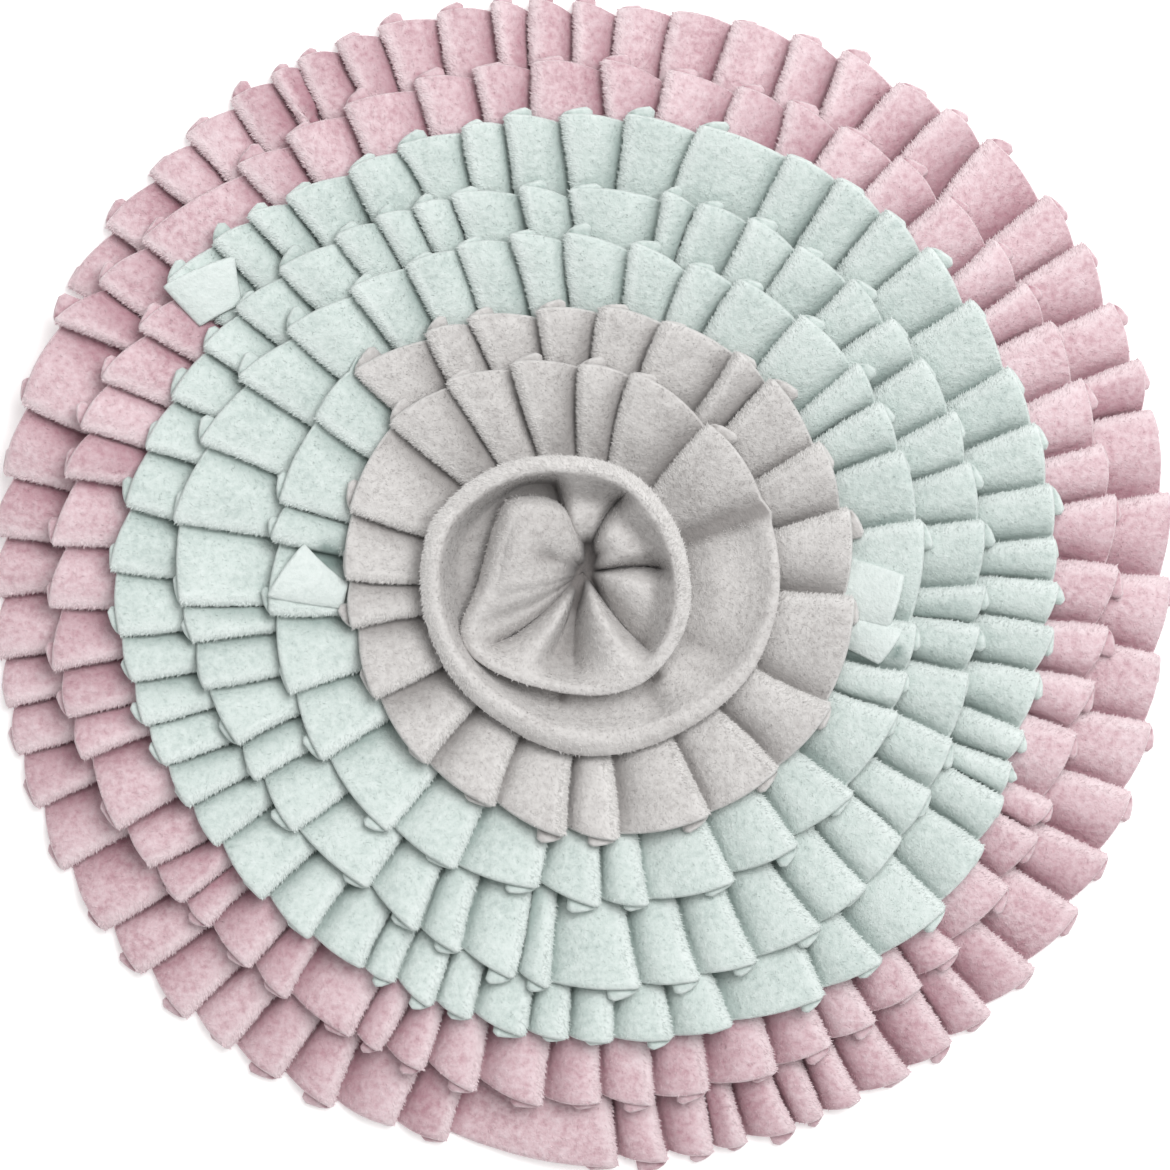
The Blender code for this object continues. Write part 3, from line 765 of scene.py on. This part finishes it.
def needle_felt(name, light, deep):
    """Needle-punched felt: pressed fibres with no nap, so it is flat, matt and faintly flecked."""
    made = bpy.data.materials.new(name)
    made.use_nodes = True
    tree = made.node_tree
    shader = tree.nodes["Principled BSDF"]
    place = add(tree, "ShaderNodeTexCoord").outputs["Object"]
    flecks = add(tree, "ShaderNodeTexNoise", [("Vector", place)],
                 in_Scale=1.0 / (FLECK * MM), in_Detail=4.0, in_Roughness=0.7)
    ramp = add(tree, "ShaderNodeValToRGB", [(0, flecks.outputs["Fac"])])
    ramp.color_ramp.elements[0].position = 0.35
    ramp.color_ramp.elements[0].color = linear(deep)
    ramp.color_ramp.elements[1].position = 0.62
    ramp.color_ramp.elements[1].color = linear(light)
    tree.links.new(ramp.outputs["Color"], shader.inputs["Base Color"])
    bump = add(tree, "ShaderNodeBump", [("Height", flecks.outputs["Fac"])],
               in_Strength=0.3, in_Distance=FLECK_DEEP * MM)
    tree.links.new(bump.outputs["Normal"], shader.inputs["Normal"])
    shader.inputs["Roughness"].default_value = 0.95
    return made


def joined_rows(first, second):
    """Two runs of cloth as one, row by row."""
    return [np.concatenate([a, b], 1) for a, b in zip(first, second)]


# Rows lie closer towards the free edge, which is what shows
PARTS = 1.0 - (1.0 - np.linspace(0.0, 1.0, ROWS)) ** 1.4
CUP_PARTS = np.linspace(0.0, 1.0, CUP_ROWS)

# Each fleece: a painted highlight colour, the light, middle and deep tones of its pile, and a painted
# shade colour
grey_fleece = fleece(
    "brushed_fleece_grey", "#EAE8E6", "#DBD8D6", "#CFCCCA", "#BCB8B6", "#726C6A")
mint_fleece = fleece(
    "brushed_fleece_mint", "#EAF0EE", "#DCE5E2", "#D0DBD7", "#BDCAC6", "#788C87")
pink_fleece = fleece(
    "brushed_fleece_pink", "#F5E9EB", "#E8D3D8", "#DBBFC5", "#C49DA6", "#96596A")

grey_pleats = pleats(
    GREY_BEGIN, GREY_EDGE, np.array(GREY_RIDGES, dtype=float), CUP_PARTS, PLEAT_LOOKS["grey"])
mint_pleats = pleats(
    MINT_BEGIN, MINT_EDGE, np.array(MINT_RIDGES) + MINT_TURNS, PARTS, PLEAT_LOOKS["mint"])
pink_pleats = pleats(
    PINK_BEGIN, PINK_EDGE, np.array(PINK_RIDGES) + PINK_TURNS, PARTS, PLEAT_LOOKS["pink"])
grey_cup = joined_rows(cup(CUP_PARTS), grey_pleats)
# Colour, surface, rows, the share near the seam that bears no nap, finish, node and flat size in
# metres, which is about half the surface of the strip's own solid, over a guessed cut width
strips = (
    ("grey", grey_cup, CUP_PARTS, 0.08, grey_fleece, "grey_strip", (0.045, 1.45)),
    ("mint", mint_pleats, PARTS, 0.42, mint_fleece, "mint_strip", (0.050, 4.30)),
    ("pink", pink_pleats, PARTS, 0.40, pink_fleece, "pink_strip", (0.047, 4.30)),
)
for salt, (colour, grid, parts, hidden, finish, node, flat) in enumerate(strips):
    slot = "fleece_" + colour
    ruffle, face, normal, fold = sheet(colour + "_ruffle", *grid, FLEECE, slot, GAP_SHADE[colour])
    # No nap deep in a crevice, where it would not show
    shown = (parts[:, None] > hidden) * (fold < 0.8)
    pile = nap(colour + "_nap", face, normal, fold, shown, NAP_COUNT, salt)
    for piece in (ruffle, pile):
        piece.data.materials.append(finish)
    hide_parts(node)

# These are taken to show the cloth's other face, which is not brushed up, so they bear no nap
for name, corners, lift_off, flat in TUCKS:
    folded, *_ = sheet(name, *tuck(corners, lift_off, TUCK_STEPS), FLEECE, "fleece_mint")
    folded.data.materials.append(mint_fleece)

base_finish = needle_felt("needle_felt_grey", "#D5D2CF", "#B7B3B0")
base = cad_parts["base_cloth"]
base.data.materials.clear()
base.data.materials.append(base_finish)

# Floor, light and camera, in metres and watts. The span is what the view shows across at the
# height of the mat's outer edge
FLOOR_SIDE = 6.0
PAPER_GLOW = 0.3
SKY_STRENGTH = 0.52
VIEW_HEIGHT = 1.6
VIEW_SPAN = 0.3816
EDGE_HEIGHT = 0.008

floor_mesh = bpy.data.meshes.new("floor")
half = FLOOR_SIDE / 2
floor_mesh.from_pydata(
    [(-half, -half, 0), (half, -half, 0), (half, half, 0), (-half, half, 0)], [], [(0, 1, 2, 3)])
floor = bpy.data.objects.new("floor", floor_mesh)
bpy.context.scene.collection.objects.link(floor)
# Matt white paper: even and without sheen, with a glow that keeps it white in the mat's shadow
paper = bpy.data.materials.new("matt_paper_white")
paper.use_nodes = True
coat = paper.node_tree.nodes["Principled BSDF"].inputs
coat["Base Color"].default_value = linear("#FBFBFA")
coat["Roughness"].default_value = 0.9
coat["Emission Color"].default_value = (1, 1, 1, 1)
coat["Emission Strength"].default_value = PAPER_GLOW
floor_mesh.materials.append(paper)

scene = bpy.context.scene
scene.view_settings.view_transform = "Standard"
sky = bpy.data.worlds.new("studio")
scene.world = sky
sky.use_nodes = True
air = sky.node_tree.nodes["Background"].inputs
air["Color"].default_value = (1.0, 1.0, 1.0, 1.0)
air["Strength"].default_value = SKY_STRENGTH


def softbox(name, bearing, rise, distance, size, watts):
    """A square area light that looks at the mat from a compass bearing and a height angle."""
    lamp = bpy.data.lights.new(name, "AREA")
    lamp.size = size
    lamp.energy = watts
    box = bpy.data.objects.new(name, lamp)
    scene.collection.objects.link(box)
    round_by, up_by = math.radians(bearing), math.radians(rise)
    level = distance * math.cos(up_by)
    box.location = (level * math.cos(round_by), level * math.sin(round_by),
                    distance * math.sin(up_by))
    box.rotation_euler = (math.pi / 2 - up_by, 0.0, round_by + math.pi / 2)


softbox("key_softbox", bearing=48.0, rise=64.0, distance=1.8, size=1.1, watts=26.0)

lens = bpy.data.cameras.new("camera")
lens.lens_unit = "FOV"
lens.sensor_fit = "HORIZONTAL"
lens.angle = 2.0 * math.atan(VIEW_SPAN / 2 / (VIEW_HEIGHT - EDGE_HEIGHT))
camera = bpy.data.objects.new("camera", lens)
scene.collection.objects.link(camera)
camera.location = (MIDDLE[0] * MM, MIDDLE[1] * MM, VIEW_HEIGHT)
scene.camera = camera
